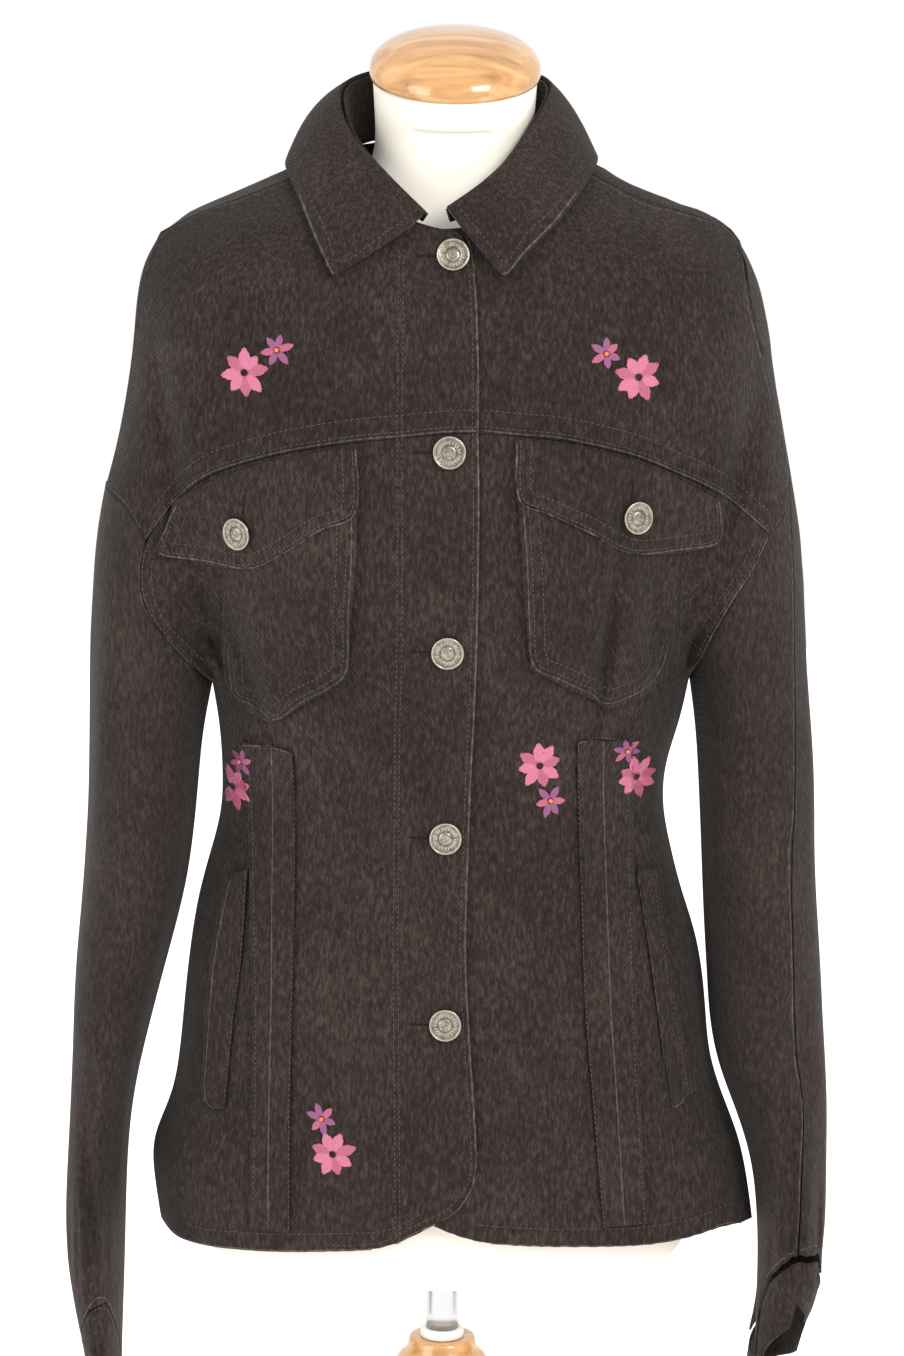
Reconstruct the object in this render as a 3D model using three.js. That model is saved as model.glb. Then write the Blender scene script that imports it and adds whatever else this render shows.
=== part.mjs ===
// A long-sleeved denim jacket on a limbless dress form with a wooden stand.
// Millimetres, Z up, the jacket's front faces -Y, the pole stands on the Z axis.
// Names end in R or L for the wearer's right (x < 0) and left (x > 0).
import * as THREE from "three";

const V = (x, y, z) => new THREE.Vector3(x, y, z);

// ---------------------------------------------------------------- tables
// Outline of each sleeve seen from the front: height, outer edge, inner edge (from the centre line).
const ARM = {
  R: [[1087, 203.1, 70], [1061, 206.3, 82], [1023, 212.9, 100], [997, 220.5, 112], [965, 226, 124], [920, 229.5, 140], [867, 231.5, 152.5], [855, 231.6, 157.5], [829, 231.8, 159], [790, 232.4, 162.5], [743, 235, 167.5], [723, 236.8, 172], [676, 241, 184.5], [636, 242.5, 194.5], [599, 244, 203], [575, 245, 206], [527, 247.6, 208.2], [486, 246.7, 209.2], [466, 244, 210], [450, 240.5, 210.5], [436, 237.5, 211.5], [420, 234.5, 211.5], [395, 231, 212], [365, 227, 213]],
  L: [[1097, 201.7, 70], [1072, 204.4, 80], [1050, 208.6, 88], [1015, 215.2, 104], [989, 221.6, 114], [933, 228.1, 136], [873, 231.6, 154.8], [848, 235, 159], [806, 238, 162.2], [755, 239.4, 165], [710, 243, 167.5], [679, 245.4, 170], [645, 247.6, 172.5], [620, 249.6, 178], [598, 250.6, 187], [573, 250.6, 198], [545, 251, 203.5], [520, 251.5, 206], [500, 251, 207], [475, 249, 207.5], [455, 243, 206], [438, 237.5, 203], [420, 234, 200], [395, 230, 198], [375, 226, 200]],
};
// Top of each shoulder, from the neck outwards: x, z.
const SHOULDER = {
  R: [[72, 1210], [105, 1196.4], [129, 1185], [151, 1176], [167, 1169], [179.4, 1163], [193.4, 1150.3], [199.8, 1134.5], [202.4, 1112.4]],
  L: [[72, 1208.5], [84, 1203.4], [117.5, 1188], [149, 1176.2], [159, 1173.5], [170, 1168], [181.4, 1155.5], [191.2, 1140.5], [196.5, 1124]],
};
// Side of the body below the underarm: height, half width.
const SIDE = {
  R: [[867, 152.5], [862, 148.3], [836, 147.6], [800, 145.5], [779, 146.5], [759, 152.8], [743, 158.6], [725, 162], [693, 167], [660, 170.5], [617, 174.4], [594, 178], [575, 188], [558, 194.5], [546, 193.5], [530, 188.8], [515, 187.2], [495, 184]],
  L: [[873, 154.8], [861, 153], [843, 149], [822, 141.5], [807, 137], [795, 137.8], [776, 142.5], [745, 148.6], [721, 157.5], [703, 163.5], [684, 167], [659, 169.7], [638, 171.6], [614, 174.5], [597, 182], [579, 190.5], [559, 196.5], [538, 200.5], [526, 203], [505, 203.5]],
};
const UNDERARM = { R: [152.5, 867], L: [154.8, 873] };
// Depth of the trunk at the centre: height, to the front, to the back.
const TRUNK = [[1230, 52, 50], [1200, 64, 62], [1180, 74, 72], [1160, 84, 81], [1140, 91, 89], [1110, 99, 97], [1075, 106, 103], [1030, 112, 106], [980, 115, 106], [930, 114, 103], [880, 108, 98], [840, 101, 92], [790, 96, 87], [740, 97, 92], [700, 100, 98], [650, 103, 105], [600, 105, 110], [540, 106, 112], [480, 106, 112]];
// Above the underarm the trunk's own section widens under the sleeve head: rise, added half width.
const REACH = [[0, 0], [20, 3], [50, 9], [90, 22], [140, 45], [200, 75], [300, 110]];
// Depth of the sleeve: height, to the front, to the back; and how far its middle swings forward.
const ARM_DEPTH = [[1160, 66, 64], [1100, 72, 70], [1000, 71, 70], [920, 68, 68], [870, 65, 66], [800, 62, 63], [720, 57, 58], [640, 53, 55], [560, 51, 52], [490, 49, 50], [440, 47, 47], [365, 46, 46]];
const ARM_MID = [[868, 0], [840, -1.6], [760, -6], [640, -10], [500, -12], [365, -12]];

const CLOTH = 1.5, HALF_GAP = 0.2;

// ---------------------------------------------------------------- curves
const sorted = (rows) => [...rows].sort((a, b) => a[0] - b[0]);
// A table read as a smooth curve through its rows, held past its ends.
function read(rows, x, col) {
  const n = rows.length;
  if (x <= rows[0][0]) return rows[0][col];
  if (x >= rows[n - 1][0]) return rows[n - 1][col];
  let i = 0;
  while (rows[i + 1][0] < x) i++;
  const d = (k) => (rows[k + 1][col] - rows[k][col]) / (rows[k + 1][0] - rows[k][0]);
  const h = (k) => rows[k + 1][0] - rows[k][0];
  const m = (k) => (k === 0 ? d(0) : k === n - 1 ? d(n - 2) : (d(k - 1) * h(k) + d(k) * h(k - 1)) / (h(k) + h(k - 1)));
  const s = (x - rows[i][0]) / h(i), s2 = s * s, s3 = s2 * s;
  return rows[i][col] * (2 * s3 - 3 * s2 + 1) + h(i) * m(i) * (s3 - 2 * s2 + s) + rows[i + 1][col] * (-2 * s3 + 3 * s2) + h(i) * m(i + 1) * (s3 - s2);
}
// A smooth line through points of any size, cut into `per` steps between each two.
function smooth(pts, per = 6) {
  const out = [];
  for (let i = 0; i < pts.length - 1; i++) {
    const a = pts[Math.max(i - 1, 0)], b = pts[i], c = pts[i + 1], d = pts[Math.min(i + 2, pts.length - 1)];
    for (let k = 0; k < per; k++) {
      const s = k / per;
      out.push(b.map((_, j) => 0.5 * (2 * b[j] + (c[j] - a[j]) * s + (2 * a[j] - 5 * b[j] + 4 * c[j] - d[j]) * s * s + (3 * b[j] - a[j] - 3 * c[j] + d[j]) * s * s * s)));
    }
  }
  out.push([...pts[pts.length - 1]]);
  return out;
}
// The same line cut into n equal lengths, or at the shares given.
function cut(line, n) {
  const at = [0];
  for (let i = 1; i < line.length; i++) at.push(at[i - 1] + Math.hypot(...line[i].map((v, j) => v - line[i - 1][j])));
  const L = at[at.length - 1];
  const shares = Array.isArray(n) ? n : Array.from({ length: n + 1 }, (_, i) => i / n);
  return shares.map((s) => {
    const w = s * L;
    let i = 1;
    while (i < line.length - 1 && at[i] < w) i++;
    const k = Math.min(1, Math.max(0, (w - at[i - 1]) / (at[i] - at[i - 1] || 1)));
    return line[i].map((v, j) => line[i - 1][j] + (v - line[i - 1][j]) * k);
  });
}
const easeEnd = (n, p = 0.5) => Array.from({ length: n + 1 }, (_, i) => (1 - p) * (i / n) + p * Math.sin((i / n) * Math.PI / 2)); // steps shorten towards the end
const easeStart = (n, p = 0.5) => Array.from({ length: n + 1 }, (_, i) => (1 - p) * (i / n) + p * (1 - Math.cos((i / n) * Math.PI / 2)));
const easeBoth = (n, p = 0.5) => Array.from({ length: n + 1 }, (_, i) => (1 - p) * (i / n) + p * 0.5 * (1 - Math.cos((i / n) * Math.PI)));

// ---------------------------------------------------------------- the cloth's surface
const T = {};
for (const s of ["R", "L"]) {
  T[s] = {
    arm: sorted(ARM[s]),
    side: sorted(SIDE[s]),
    edge: smooth([...SHOULDER[s], ...ARM[s].map((r) => [r[1], r[0]])], 4),
  };
}
const trunkT = sorted(TRUNK), reachT = sorted(REACH), armD = sorted(ARM_DEPTH), armM = sorted(ARM_MID);
const clamp = (v, a = 0, b = 1) => Math.min(b, Math.max(a, v));
const step = (a, b, x) => { const t = clamp((x - a) / (b - a)); return t * t * (3 - 2 * t); };
const blend = (a, b, k) => { const h = clamp(0.5 + 0.5 * (a - b) / k); return b + (a - b) * h + k * h * (1 - h); };

function edgeNear(ax, z, s) {
  const e = T[s].edge;
  let best = { d: 1e9 };
  for (let i = 0; i < e.length - 1; i++) {
    const [x0, z0] = e[i], [x1, z1] = e[i + 1];
    const ux = x1 - x0, uz = z1 - z0, l2 = ux * ux + uz * uz;
    const t = clamp(((ax - x0) * ux + (z - z0) * uz) / l2);
    const px = x0 + t * ux, pz = z0 + t * uz, d = Math.hypot(ax - px, z - pz);
    if (d < best.d) { const l = Math.sqrt(l2); best = { d, px, pz, nx: uz / l, nz: -ux / l }; } // n points inwards
  }
  return best;
}
const trunkHalf = (z, s) => (z < UNDERARM[s][1] ? read(T[s].side, z, 1) : UNDERARM[s][0] + read(reachT, z - UNDERARM[s][1], 1));
const bust = (x, z) => 11 * Math.exp(-(((Math.abs(x) - 72) / 44) ** 2) - ((z - 962) / 58) ** 2) - 3 * Math.exp(-((x / 30) ** 2) - ((z - 950) / 70) ** 2);

function trunkDepth(x, z, s, face) {
  const t = clamp(Math.abs(x) / trunkHalf(z, s));
  const e = Math.max(0, 1 - t ** 2.35) ** (1 / 2.1);
  return read(trunkT, z, face < 0 ? 1 : 2) * e + (face < 0 ? bust(x, z) * Math.min(1, e * 1.6) : 0);
}
function armDepth(x, z, s, face) {
  const xo = read(T[s].arm, z, 1), xi = read(T[s].arm, z, 2), r = (xo - xi) / 2;
  const u = clamp(((xo + xi) / 2 - Math.abs(x)) / r);
  return [read(armD, z, face < 0 ? 1 : 2) * Math.sqrt(1 - u * u), r];
}
// How far the cloth stands off the middle plane at x, z. part: "trunk", "arm" (their own tubes below the underarm, one surface above it).
function off(x, z, face, part) {
  const s = x < 0 ? "R" : "L", za = UNDERARM[s][1];
  const ft = trunkDepth(x, z, s, face);
  if (part === "trunk" && z < za) return ft;
  const [fa, r] = armDepth(x, z, s, face);
  const d = edgeNear(Math.abs(x), z, s).d;
  const u = clamp(d / (z < za ? r : Math.min(r, 62)));
  const p = Math.sqrt(Math.max(0, 1 - (1 - u) ** 2));
  if (part === "arm" && z < za) return fa * p;
  return blend(ft, fa, 4 + 22 * step(0, 90, z - za)) * p;
}
// A point of the cloth's outer face and its outward normal.
function at(x, z, face, part, lift = 0) {
  const s = x < 0 ? "R" : "L", sg = x < 0 ? -1 : 1, za = UNDERARM[s][1], low = z < za;
  if (low && part === "arm") x = sg * clamp(Math.abs(x), read(T[s].arm, z, 2), read(T[s].arm, z, 1));
  if (low && part === "trunk") x = sg * Math.min(Math.abs(x), trunkHalf(z, s));
  const mid = part === "arm" ? read(armM, z, 1) : 0;
  const f = off(x, z, face, part);
  let ax = Math.abs(x), qz = z;
  const IN = 1.3;
  if (part === "trunk" && low) ax = Math.min(ax, trunkHalf(z, s) - IN);
  else {
    const e = edgeNear(ax, z, s);
    if (e.d < IN) { ax = e.px + IN * e.nx; qz = e.pz + IN * e.nz; }
    if (part === "arm" && low) ax = Math.max(ax, read(T[s].arm, z, 2) + IN);
  }
  const qx = sg * ax, h = 1;
  const g = (a, b) => off(a, b, face, part) ** 2;
  const keep = (v) => (Math.sign(v) !== sg && x !== 0 ? sg * 1e-3 : v);
  const gx = (g(keep(qx + h), qz) - g(keep(qx - h), qz)) / (keep(qx + h) - keep(qx - h));
  const gz = (g(qx, qz + h) - g(qx, qz - h)) / (2 * h);
  const dm = part === "arm" ? (read(armM, z + 1, 1) - read(armM, z - 1, 1)) / 2 : 0;
  const n = V(-gx / 2, face * f, -gz / 2 - face * f * dm).normalize();
  return { p: V(x, mid + face * f, z).addScaledVector(n, lift), n };
}

// ---------------------------------------------------------------- solids
const group = new THREE.Group();
const COLOUR = { denim: 0x4a423d, form: 0xefe9dd, wood: 0xd9a86c, metal: 0x9a938a, white: 0xf2f2f0 };
function add(name, pos, tri, kind) {
  let six = 0;
  for (let i = 0; i < tri.length; i += 3) {
    const [a, b, c] = [0, 1, 2].map((k) => V(pos[3 * tri[i + k]], pos[3 * tri[i + k] + 1], pos[3 * tri[i + k] + 2]));
    six += a.dot(b.cross(c));
  }
  if (six < 0) tri = tri.map((_, i) => tri[i - (i % 3) + 2 - (i % 3)]); // faces point outwards
  const g = new THREE.BufferGeometry();
  g.setAttribute("position", new THREE.Float32BufferAttribute(pos, 3));
  g.setIndex(tri);
  g.computeVertexNormals();
  const m = new THREE.Mesh(g, new THREE.MeshStandardMaterial({ color: COLOUR[kind], flatShading: true }));
  m.name = name;
  group.add(m);
}
// Cloth: grids of {p, n} that share the points where they meet, given a wall and pulled in a little at the open edges.
function cloth(name, grids, t = CLOTH, gap = HALF_GAP) {
  const P = [], N = [], key = new Map();
  const id = (q) => {
    const k = q.p.toArray().map((v) => Math.round(v * 500)).join();
    if (!key.has(k)) { key.set(k, P.length); P.push(q.p.clone()); N.push(V(0, 0, 0)); }
    N[key.get(k)].add(q.n);
    return key.get(k);
  };
  const tris = [];
  for (const g of grids) {
    const I = g.map((row) => row.map(id));
    let vote = 0;
    const cells = [];
    for (let i = 0; i < g.length - 1; i++)
      for (let j = 0; j < g[0].length - 1; j++) {
        const a = g[i][j], b = g[i + 1][j], c = g[i + 1][j + 1], d = g[i][j + 1];
        const x = c.p.clone().sub(a.p).cross(d.p.clone().sub(b.p));
        vote += x.dot(a.n.clone().add(c.n).add(b.n).add(d.n));
        cells.push([I[i][j], I[i + 1][j], I[i + 1][j + 1], I[i][j + 1]]);
      }
    for (let [a, b, c, d] of cells) {
      if (vote < 0) [a, b, c, d] = [d, c, b, a];
      const q = P[a].distanceToSquared(P[c]) <= P[b].distanceToSquared(P[d]) ? [[a, b, c], [a, c, d]] : [[a, b, d], [b, c, d]];
      for (const w of q) if (w[0] !== w[1] && w[1] !== w[2] && w[0] !== w[2]) tris.push(w);
    }
  }
  N.forEach((n) => n.normalize());
  const edges = new Set();
  for (const [a, b, c] of tris) for (const e of [[a, b], [b, c], [c, a]]) edges.add(e.join());
  const rim = [];
  for (const e of edges) { const [a, b] = e.split(",").map(Number); if (!edges.has(b + "," + a)) rim.push([a, b]); }
  const pull = new Map();
  for (const [a, b] of rim)
    for (const v of [a, b]) {
      const d = N[v].clone().cross(P[b].clone().sub(P[a])).normalize();
      if (!pull.has(v)) pull.set(v, []);
      pull.get(v).push(d);
    }
  for (const [v, ds] of pull) {
    const s = V(0, 0, 0);
    ds.forEach((d) => s.add(d));
    const c = ds.length > 1 ? 1 + ds[0].dot(ds[1]) : 1;
    P[v].addScaledVector(s, gap / Math.max(0.45, c));
  }
  const pos = [], tri = [];
  for (const p of P) pos.push(...p.toArray());
  P.forEach((p, i) => pos.push(...p.clone().addScaledVector(N[i], -(Array.isArray(t) ? t[i] : t)).toArray()));
  const k = P.length;
  for (const [a, b, c] of tris) tri.push(a, b, c, k + c, k + b, k + a);
  for (const [a, b] of rim) tri.push(b, a, k + a, b, k + a, k + b);
  add(name, pos, tri, "denim");
}
// Rings of points joined into a solid, its ends closed by a point in the middle of each.
function loft(name, rings, kind) {
  const n = rings[0].length, pos = [], tri = [];
  rings.forEach((r) => r.forEach((p) => pos.push(...p)));
  const mean = (r) => [0, 1, 2].map((j) => r.reduce((a, p) => a + p[j], 0) / n);
  for (let i = 0; i < rings.length - 1; i++)
    for (let j = 0; j < n; j++) {
      const a = i * n + j, b = i * n + ((j + 1) % n), c = a + n, d = b + n;
      tri.push(a, b, d, a, d, c);
    }
  const b0 = rings.length * n;
  pos.push(...mean(rings[0]), ...mean(rings[rings.length - 1]));
  for (let j = 0; j < n; j++) {
    tri.push(b0, (j + 1) % n, j);
    tri.push(b0 + 1, (rings.length - 1) * n + j, (rings.length - 1) * n + ((j + 1) % n));
  }
  add(name, pos, tri, kind);
}
const ring = (n, f) => Array.from({ length: n }, (_, j) => f((j / n) * 2 * Math.PI));
// A patch of the front view between four lines (each a list of [x, z]), as rows from bottom to top.
function coons(bottom, top, left, right) {
  const nu = bottom.length - 1, nv = left.length - 1, out = [];
  left = [bottom[0], ...left.slice(1, nv), top[0]];
  right = [bottom[nu], ...right.slice(1, nv), top[nu]];
  for (let j = 0; j <= nv; j++) {
    const v = j / nv, row = [];
    for (let i = 0; i <= nu; i++) {
      const u = i / nu;
      row.push([0, 1].map((k) => (1 - v) * bottom[i][k] + v * top[i][k] + (1 - u) * left[j][k] + u * right[j][k] - (1 - u) * (1 - v) * bottom[0][k] - u * (1 - v) * bottom[nu][k] - (1 - u) * v * top[0][k] - u * v * top[nu][k]));
    }
    out.push(row);
  }
  return out;
}
const raise = (grid, face, part, lift = () => 0) => grid.map((row) => row.map(([x, z]) => at(x, z, face, part, lift(x, z))));


// ---------------------------------------------------------------- seams, [x, z] as seen from the front
const SEAM = {
  R: {
    yoke: [[17, 1040], [-7, 1039], [-30, 1036.5], [-55, 1034], [-80, 1030], [-104, 1025], [-130, 1017], [-152, 1008], [-168, 995], [-181, 979], [-190, 967]],
    armhole: [[-190, 967], [-195, 948], [-193, 929], [-184, 912], [-170, 895], [-159, 880], [-152.5, 867]],
    head: [[-190, 967], [-195, 976], [-204, 987], [-218.6, 995.8]],
    headEdge: [[-218.6, 995.8], [-220.5, 997]],
    shoulder: [[-218.6, 995.8], [-211, 1027], [-203, 1070], [-198.5, 1105], [-195.5, 1125], [-192.5, 1139], [-188, 1151], [-179, 1160], [-166, 1166], [-151, 1172.5], [-134, 1178], [-104, 1190], [-75, 1202]],
    neck: [[5, 1160], [-12, 1162], [-32, 1169], [-52, 1183], [-67, 1196], [-75, 1202]],
    front: [[17, 1040], [17, 1072], [15, 1120], [11, 1153], [5, 1160]],
    front2: [[17, 1040], [18, 1000], [18, 938], [17, 875], [15, 823], [14, 778], [13, 715], [16, 658], [19, 620], [21, 588], [20, 568], [15, 556], [8, 547]],
    hem: [[8, 547], [-2, 541], [-15, 534], [-27, 527], [-40, 522], [-71, 519], [-110, 515], [-136, 513], [-156, 511], [-170, 510], [-181, 509], [-186.6, 509]],
    cuff: [[-236.6, 431], [-234, 452], [-226, 468], [-218, 468], [-213, 448], [-211.5, 420]],
    cuffBack: [[-236.6, 431], [-230, 424], [-219, 420], [-211.5, 420]],
    cuffEnd: [[-228.7, 382], [-227, 405], [-223, 422], [-217.5, 422], [-213.5, 402], [-212.7, 374]],
    cuffEndBack: [[-228.7, 382], [-223, 377], [-217, 374], [-212.7, 374]],
    yokeBack: [[0, 1032], [-90, 1029], [-140, 1018], [-168, 1002], [-182, 988], [-190, 975]],
    armholeBack: [[-190, 975], [-193, 950], [-189, 928], [-178, 905], [-164, 883], [-152.5, 867]],
    headBack: [[-190, 975], [-198, 984], [-208, 991], [-220.5, 997]],
    hemBack: [[0, 506], [-80, 506], [-140, 507], [-175, 508], [-186.6, 509]],
  },
  L: {
    yoke: [[-20, 1040], [16, 1040], [42, 1038], [66, 1036], [91, 1031], [116, 1024], [141, 1013], [166, 1001], [183, 988], [200, 973]],
    armhole: [[200, 973], [191, 955], [178, 934], [167, 912], [160, 893], [154.8, 873]],
    head: [[200, 973], [205, 979], [210, 986], [213.5, 1000]],
    headEdge: [[213.5, 1000], [214.2, 1018], [210.6, 1040]],
    shoulder: [[213.5, 1000], [211, 1019], [205, 1043], [197, 1075], [190, 1097], [185, 1116], [183, 1133], [182, 1147], [179, 1156], [171, 1163.5], [160, 1168], [137, 1174], [116, 1180], [78, 1199.5]],
    neck: [[-20, 1163], [0, 1161.5], [20, 1166], [42, 1178], [62, 1191], [78, 1199.5]],
    front: [[-20, 1040], [-20, 1100], [-20, 1163]],
    front2: [[-20, 1040], [-20, 900], [-20, 700], [-20, 545]],
    hem: [[-20, 545], [-3, 536], [6, 532], [23, 527], [49, 525], [89, 523], [125, 521], [148, 521], [165, 522], [182, 524], [196, 519], [203.3, 515]],
    cuff: [[247.6, 478], [243, 505], [232, 508], [225, 504], [217, 497], [211, 482], [204.2, 431]],
    cuffBack: [[247.6, 478], [240, 462], [222, 444], [204.2, 431]],
    cuffEnd: [[241.5, 433], [237, 462], [231, 472], [226, 455], [217, 449], [209.5, 438], [200.2, 390]],
    cuffEndBack: [[241.5, 433], [234, 418], [217, 400], [200.2, 390]],
    seam: [[213.5, 1000], [214, 978], [216.5, 957], [217, 938], [218, 894], [219, 863], [219.5, 801], [218, 769], [220, 721], [224, 641], [229, 617], [230.5, 595], [229.5, 566], [229.5, 536], [228, 506]],
    yokeBack: [[0, 1032], [90, 1029], [140, 1019], [172, 1004], [188, 992], [200, 978]],
    armholeBack: [[200, 978], [194, 952], [183, 928], [170, 902], [160, 887], [154.8, 873]],
    headBack: [[200, 978], [200.5, 998], [203, 1018], [206, 1032], [210.6, 1040]],
    hemBack: [[0, 506], [80, 506], [140, 508], [185, 512], [203.3, 515]],
  },
};
const heights = (a, b, n) => Array.from({ length: n + 1 }, (_, i) => a + ((b - a) * i) / n);
const join = (a, b) => [...a, ...b.slice(1)];
const back = (l) => [...l].reverse();

const NY = 12, NV = 9, NA = 5, NS = 13, NI = 14;
const S = {};
for (const s of ["R", "L"]) {
  const q = SEAM[s], sg = s === "R" ? -1 : 1;
  const line = (k, n) => cut(smooth(q[k]), n);
  const o = (S[s] = {});
  o.yoke = line("yoke", easeEnd(NY, 0.35));
  o.armhole = line("armhole", NA);
  o.head = line("head", NV);
  o.shoulder = line("shoulder", NY);
  o.front = join(line("front", 5), line("neck", 4));
  const headEdge = s === "R" ? line("headEdge", 1) : line("headEdge", 3);
  o.headEdge = headEdge;
  // shoulder outline from the sleeve head up to the neck, level with the shoulder seam's points
  const e = T[s].edge.map(([x, z]) => [sg * x, z]);
  const zs = headEdge[headEdge.length - 1][1];
  const outline = back(e.filter(([, z]) => z > zs + 1));
  o.outline = cut([[sg * read(T[s].arm, zs, 1), zs], ...outline], NY);
  const zHem = q.hem[q.hem.length - 1][1], za = UNDERARM[s][1];
  o.side = heights(za, zHem, NS).map((z) => [sg * trunkHalf(z, s), z]);
  o.hem = line("hem", easeEnd(NY, 0.4));
  o.armholeBack = line("armholeBack", NA);
  o.headBack = line("headBack", 4);
  o.inner = (z1) => heights(za, z1, NI).map((z) => [sg * (z > za - 0.01 ? UNDERARM[s][0] : read(T[s].arm, z, 2)), z]);
  o.outer = (z0, zm, z1) => join(heights(z0, zm, NA), heights(zm, z1, NI)).map((z) => [sg * read(T[s].arm, z, 1), z]);
}
// The right front laps over the left one along the button stand.
const lapR = (x) => 1.1 * step(-40, -26, x), lapL = (x) => -1.2 * step(32, 22, x);
const lift = { R: lapR, L: lapL };

for (const s of ["R", "L"]) {
  const o = S[s], q = SEAM[s], sg = s === "R" ? -1 : 1;
  cloth("front_yoke_" + s, [raise(coons(o.yoke, back(o.shoulder), o.front, o.head), -1, "trunk", (x) => lift[s](x))]);
  // front body: rows from the hem up
  const zRows = [...o.side.map((p) => p[1])];
  const right = join(back(o.side), back(o.armhole));
  const f2 = smooth(q.front2);
  const zTop = q.yoke[0][1], L = f2.length;
  const left = cut(back(f2), right.map((_, i) => i / (right.length - 1)));
  cloth("front_body_" + s, [raise(coons(o.hem, o.yoke, left, right), -1, "trunk", (x) => lift[s](x))]);
}
// back yoke: its back, and the strips that run over the shoulders to the shoulder seams
{
  const R = S.R, L = S.L;
  const neckBack = cut(smooth([[-72, 1210], [-45, 1213.5], [0, 1215], [45, 1213], [72, 1208.5]]), 6);
  const top = join(join(R.outline, neckBack), back(L.outline));
  const yokeBack = cut(join(back(smooth(SEAM.R.yokeBack)), smooth(SEAM.L.yokeBack)), Array.from({ length: 31 }, (_, i) => 0.45 * (i / 30) + 0.55 * 0.5 * (1 - Math.cos((i / 30) * Math.PI))));
  R.yokeBack = yokeBack;
  const g = raise(coons(yokeBack, top, R.headBack, L.headBack), 1, "trunk");
  const strips = ["R", "L"].map((s) => {
    const o = S[s], n = o.headEdge.length - 1;
    const a = coons(o.shoulder, o.outline, o.headEdge, Array.from({ length: n + 1 }, (_, i) => [0, 1].map((k) => o.shoulder[NY][k] + ((o.outline[NY][k] - o.shoulder[NY][k]) * i) / n)));
    return raise(a, -1, "trunk");
  });
  // the two faces share the shoulder's outline, where the depth is nil
  g[g.length - 1].forEach((c, i) => { if (i <= NY || i >= NY + 6) c.p.y = 0; });
  for (const a of strips) a[a.length - 1].forEach((c) => (c.p.y = 0));
  cloth("back_yoke", [g, ...strips], CLOTH, 0.6);
  const hemBack = cut(join(back(smooth(SEAM.R.hemBack)), smooth(SEAM.L.hemBack)), Array.from({ length: 16 }, (_, i) => 0.45 * (i / 15) + 0.55 * 0.5 * (1 - Math.cos((i / 15) * Math.PI))));
  const l = join(back(R.side), back(R.armholeBack)), r = join(back(L.side), back(L.armholeBack));
  cloth("back_body", [raise(coons(hemBack, yokeBack.filter((_, i) => i % 2 === 0), l, r), 1, "trunk")], CLOTH, 0.8);
}
// sleeves
for (const s of ["R", "L"]) {
  const o = S[s], q = SEAM[s], sg = s === "R" ? -1 : 1;
  const zs = o.headEdge[o.headEdge.length - 1][1];
  const zo = q.cuff[0][1], zi = q.cuff[q.cuff.length - 1][1];
  const outer = o.outer(zs, 888, zo), inner = join(o.armhole, o.inner(zi).map((p) => p)), innerBack = join(o.armholeBack, o.inner(zi));
  const top = join(o.head, o.headEdge); // from the yoke's corner out to the sleeve's outline
  const shares = (line) => { const d = [0]; for (let i = 1; i < line.length; i++) d.push(d[i - 1] + Math.hypot(line[i][0] - line[i - 1][0], line[i][1] - line[i - 1][1])); return d.map((v) => v / d[d.length - 1]); };
  const halve = (line) => line.flatMap((p, i) => (i ? [[0, 1].map((k) => (p[k] + line[i - 1][k]) / 2), p] : [p]));
  const topBack = halve(o.headBack);
  const backRows = cut(back(smooth(q.cuffBack)), easeBoth(8, 0.8));
  const backGrid = raise(coons(backRows, topBack, back(innerBack), back(outer)), 1, "arm");
  let frontRows;
  if (s === "R") {
    frontRows = cut(back(smooth(q.cuff)), easeBoth(top.length - 1, 0.8));
    cloth("sleeve_front_R", [raise(coons(frontRows, top, back(inner), back(outer)), -1, "arm")]);
    cloth("sleeve_back_R", [backGrid]);
  } else {
    // this sleeve's front seam shows: the back piece comes round the outside to meet it
    const full = smooth(q.cuff);
    const k = full.reduce((b, p, i) => (Math.abs(p[0] - 228) < Math.abs(full[b][0] - 228) ? i : b), 0);
    const seam = cut(smooth(q.seam), outer.map((_, i) => i / (outer.length - 1)));
    seam[seam.length - 1] = [...full[k]];
    const toSeam = cut(back(full.slice(k)), easeStart(NV, 0.6)), past = cut(back(full.slice(0, k + 1)), easeEnd(3, 0.6));
    cloth("sleeve_front_L", [raise(coons(toSeam, o.head, back(inner), back(seam)), -1, "arm")]);
    const A = raise(coons(past, o.headEdge, back(seam), back(outer)), -1, "arm");
    A.forEach((row, i) => { const a = row[row.length - 1], b = backGrid[i][backGrid[i].length - 1]; a.p.copy(b.p); a.n.copy(b.n); });
    cloth("sleeve_back_L", [A, backGrid], CLOTH, 0.9);
    frontRows = join(toSeam, past);
  }
  // the cuff carries on below the sleeve's seam as a closed band
  const band = (seamLine, end, face) => {
    const topLine = seamLine.map(([x, z]) => [x, z - (s === "L" ? 2.5 : 0)]);
    const low = cut(back(smooth(q[end])), shares(topLine)), m = low.length - 1;
    const rows = [0, 1, 2].map((i) => low.map((p, j) => [0, 1].map((k) => p[k] + ((topLine[j][k] - p[k]) * i) / 2)));
    rows.forEach((r) => { r[0][0] = sg * read(T[s].arm, r[0][1], 2); r[m][0] = sg * read(T[s].arm, r[m][1], 1); });
    return raise(rows, face, "arm");
  };
  const cf = band(frontRows, "cuffEnd", -1), cb = band(backRows, "cuffEndBack", 1);
  cf.forEach((row, i) => {
    for (const [a, b] of [[row[0], cb[i][0]], [row[row.length - 1], cb[i][cb[i].length - 1]]]) {
      a.p.lerp(b.p, 0.5); b.p.copy(a.p);
    }
  });
  cloth("cuff_" + s, [cf, cb], 1.8, s === "R" ? 0.7 : 2);
}

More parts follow.
